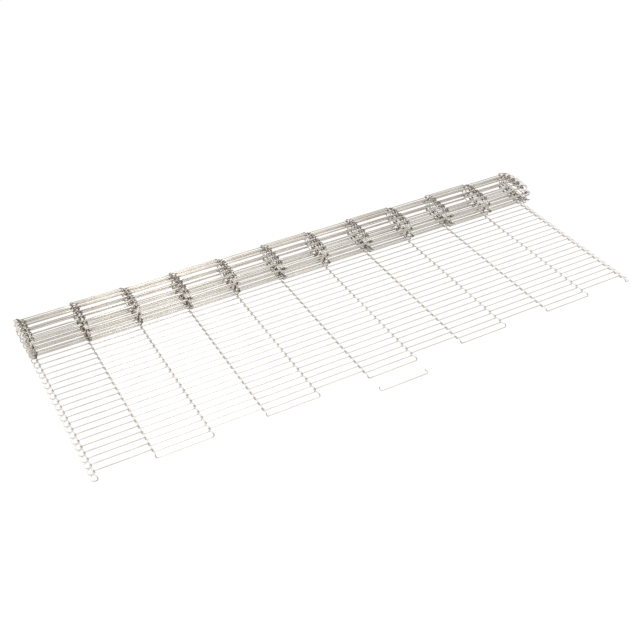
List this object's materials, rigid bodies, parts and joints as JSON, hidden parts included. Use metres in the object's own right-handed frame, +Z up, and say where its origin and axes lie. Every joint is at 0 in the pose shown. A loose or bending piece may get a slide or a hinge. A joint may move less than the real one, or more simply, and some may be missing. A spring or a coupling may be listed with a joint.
{
  "type": "wire mesh conveyor belt",
  "caption": "Ladder-type wire mesh conveyor belt, partly unrolled: hinged strands lie flat in front of the rolled part, with a loose closing link.",
  "frame": {"origin": "middle of the footprint, on the floor", "axes": "+X across the belt, +Y from the free end to the roll, +Z up"},
  "size_m": [0.9124, 0.3752, 0.0439],
  "materials": {
    "strand_wire": "bright drawn stainless steel wire",
    "rolled_wire": "bright drawn stainless steel wire, wound up",
    "link_wire": "bright drawn stainless steel wire"
  },
  "bodies": {
    "roll": {"belt_roll": "rolled_wire", "strand_lead": "strand_wire", "splice_link": "link_wire"},
    "strand_01": {"strand_01": "strand_wire"},
    "strand_02": {"strand_02": "strand_wire"},
    "strand_03": {"strand_03": "strand_wire"},
    "strand_04": {"strand_04": "strand_wire"},
    "strand_05": {"strand_05": "strand_wire"},
    "strand_06": {"strand_06": "strand_wire"},
    "strand_07": {"strand_07": "strand_wire"},
    "strand_08": {"strand_08": "strand_wire"},
    "strand_09": {"strand_09": "strand_wire"},
    "strand_10": {"strand_10": "strand_wire"},
    "strand_11": {"strand_11": "strand_wire"},
    "strand_12": {"strand_12": "strand_wire"},
    "strand_13": {"strand_13": "strand_wire"},
    "strand_14": {"strand_14": "strand_wire"},
    "strand_15": {"strand_15": "strand_wire"},
    "strand_16": {"strand_16": "strand_wire"},
    "strand_17": {"strand_17": "strand_wire"},
    "strand_18": {"strand_18": "strand_wire"},
    "strand_19": {"strand_19": "strand_wire"},
    "strand_20": {"strand_20": "strand_wire"},
    "strand_21": {"strand_21": "strand_wire"}
  },
  "joints": [
    {"name": "hinge_01", "type": "hinge", "parent": "roll", "child": "strand_01", "pos_m": [0, 0.1154, 0.0023], "axis": [-1, 0, 0], "range_deg": [-5, 13]},
    {"name": "hinge_02", "type": "hinge", "parent": "strand_01", "child": "strand_02", "pos_m": [0, 0.1027, 0.0023], "axis": [-1, 0, 0], "range_deg": [-5, 13]},
    {"name": "hinge_03", "type": "hinge", "parent": "strand_02", "child": "strand_03", "pos_m": [0, 0.09, 0.0023], "axis": [-1, 0, 0], "range_deg": [-5, 13]},
    {"name": "hinge_04", "type": "hinge", "parent": "strand_03", "child": "strand_04", "pos_m": [0, 0.0773, 0.0023], "axis": [-1, 0, 0], "range_deg": [-5, 13]},
    {"name": "hinge_05", "type": "hinge", "parent": "strand_04", "child": "strand_05", "pos_m": [0, 0.0646, 0.0023], "axis": [-1, 0, 0], "range_deg": [-5, 13]},
    {"name": "hinge_06", "type": "hinge", "parent": "strand_05", "child": "strand_06", "pos_m": [0, 0.0519, 0.0023], "axis": [-1, 0, 0], "range_deg": [-5, 13]},
    {"name": "hinge_07", "type": "hinge", "parent": "strand_06", "child": "strand_07", "pos_m": [0, 0.0392, 0.0023], "axis": [-1, 0, 0], "range_deg": [-5, 13]},
    {"name": "hinge_08", "type": "hinge", "parent": "strand_07", "child": "strand_08", "pos_m": [0, 0.0265, 0.0023], "axis": [-1, 0, 0], "range_deg": [-5, 13]},
    {"name": "hinge_09", "type": "hinge", "parent": "strand_08", "child": "strand_09", "pos_m": [0, 0.0138, 0.0023], "axis": [-1, 0, 0], "range_deg": [-5, 13]},
    {"name": "hinge_10", "type": "hinge", "parent": "strand_09", "child": "strand_10", "pos_m": [0, 0.0011, 0.0023], "axis": [-1, 0, 0], "range_deg": [-5, 13]},
    {"name": "hinge_11", "type": "hinge", "parent": "strand_10", "child": "strand_11", "pos_m": [0, -0.0116, 0.0023], "axis": [-1, 0, 0], "range_deg": [-5, 13]},
    {"name": "hinge_12", "type": "hinge", "parent": "strand_11", "child": "strand_12", "pos_m": [0, -0.0243, 0.0023], "axis": [-1, 0, 0], "range_deg": [-5, 13]},
    {"name": "hinge_13", "type": "hinge", "parent": "strand_12", "child": "strand_13", "pos_m": [0, -0.037, 0.0023], "axis": [-1, 0, 0], "range_deg": [-5, 13]},
    {"name": "hinge_14", "type": "hinge", "parent": "strand_13", "child": "strand_14", "pos_m": [0, -0.0497, 0.0023], "axis": [-1, 0, 0], "range_deg": [-5, 13]},
    {"name": "hinge_15", "type": "hinge", "parent": "strand_14", "child": "strand_15", "pos_m": [0, -0.0624, 0.0023], "axis": [-1, 0, 0], "range_deg": [-5, 13]},
    {"name": "hinge_16", "type": "hinge", "parent": "strand_15", "child": "strand_16", "pos_m": [0, -0.0751, 0.0023], "axis": [-1, 0, 0], "range_deg": [-5, 13]},
    {"name": "hinge_17", "type": "hinge", "parent": "strand_16", "child": "strand_17", "pos_m": [0, -0.0878, 0.0023], "axis": [-1, 0, 0], "range_deg": [-5, 13]},
    {"name": "hinge_18", "type": "hinge", "parent": "strand_17", "child": "strand_18", "pos_m": [0, -0.1005, 0.0023], "axis": [-1, 0, 0], "range_deg": [-5, 13]},
    {"name": "hinge_19", "type": "hinge", "parent": "strand_18", "child": "strand_19", "pos_m": [0, -0.1132, 0.0023], "axis": [-1, 0, 0], "range_deg": [-5, 13]},
    {"name": "hinge_20", "type": "hinge", "parent": "strand_19", "child": "strand_20", "pos_m": [0, -0.1259, 0.0023], "axis": [-1, 0, 0], "range_deg": [-5, 13]},
    {"name": "hinge_21", "type": "hinge", "parent": "strand_20", "child": "strand_21", "pos_m": [0, -0.1386, 0.0023], "axis": [-1, 0, 0], "range_deg": [-5, 13]}
  ]
}
